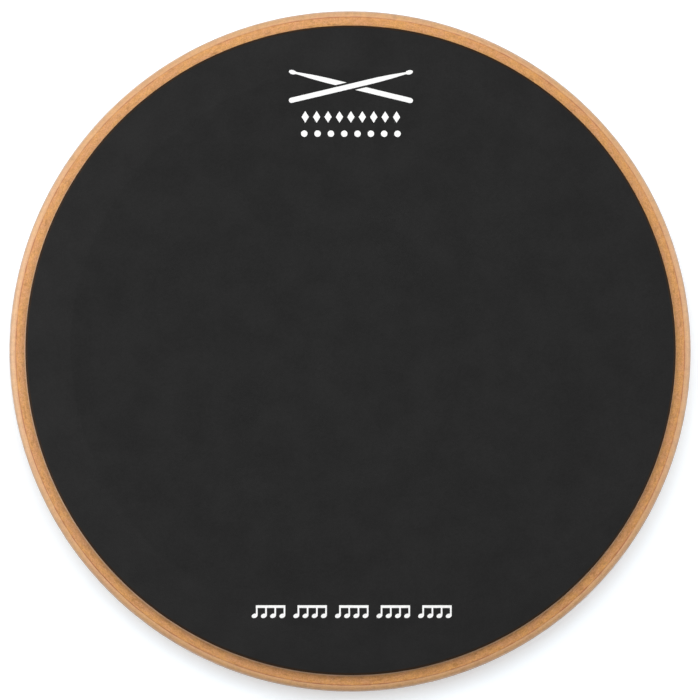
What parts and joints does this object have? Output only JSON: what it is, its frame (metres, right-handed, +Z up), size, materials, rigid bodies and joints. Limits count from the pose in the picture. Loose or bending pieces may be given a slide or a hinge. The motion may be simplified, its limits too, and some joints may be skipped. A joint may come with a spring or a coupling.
{
  "type": "practice pad",
  "caption": "Round drum practice pad: matte black playing skin over a rubber sheet on a clear-lacquered fibreboard base with a rounded edge, rubber feet and a threaded stand nut underneath.",
  "frame": {"origin": "on the surface the pad stands on, under the pad's centre", "axes": "+Z up, out of the playing skin; +Y towards the far edge, where the upper print stands; +X to the right"},
  "size_m": [0.305, 0.305, 0.034],
  "materials": {
    "lacquered_fibreboard": "satin",
    "black_skin": "matte",
    "damping_rubber": "matte",
    "bonding_film": "satin",
    "foot_rubber": "matte",
    "zinc_plate": "satin",
    "screw_steel": "polished",
    "white_ink": "matte"
  },
  "bodies": {
    "root": {"base_board": "lacquered_fibreboard", "playing_skin": "black_skin", "rubber_layer": "damping_rubber", "skin_bonding_film": "bonding_film", "rubber_bonding_film": "bonding_film", "stand_nut": "zinc_plate", "nut_screw_1": "screw_steel", "nut_screw_2": "screw_steel", "nut_screw_3": "screw_steel", "rubber_foot_1": "foot_rubber", "rubber_foot_2": "foot_rubber", "rubber_foot_3": "foot_rubber", "rubber_foot_4": "foot_rubber", "foot_washer_1": "zinc_plate", "foot_washer_2": "zinc_plate", "foot_washer_3": "zinc_plate", "foot_washer_4": "zinc_plate", "foot_screw_1": "screw_steel", "foot_screw_2": "screw_steel", "foot_screw_3": "screw_steel", "foot_screw_4": "screw_steel"}
  },
  "joints": []
}
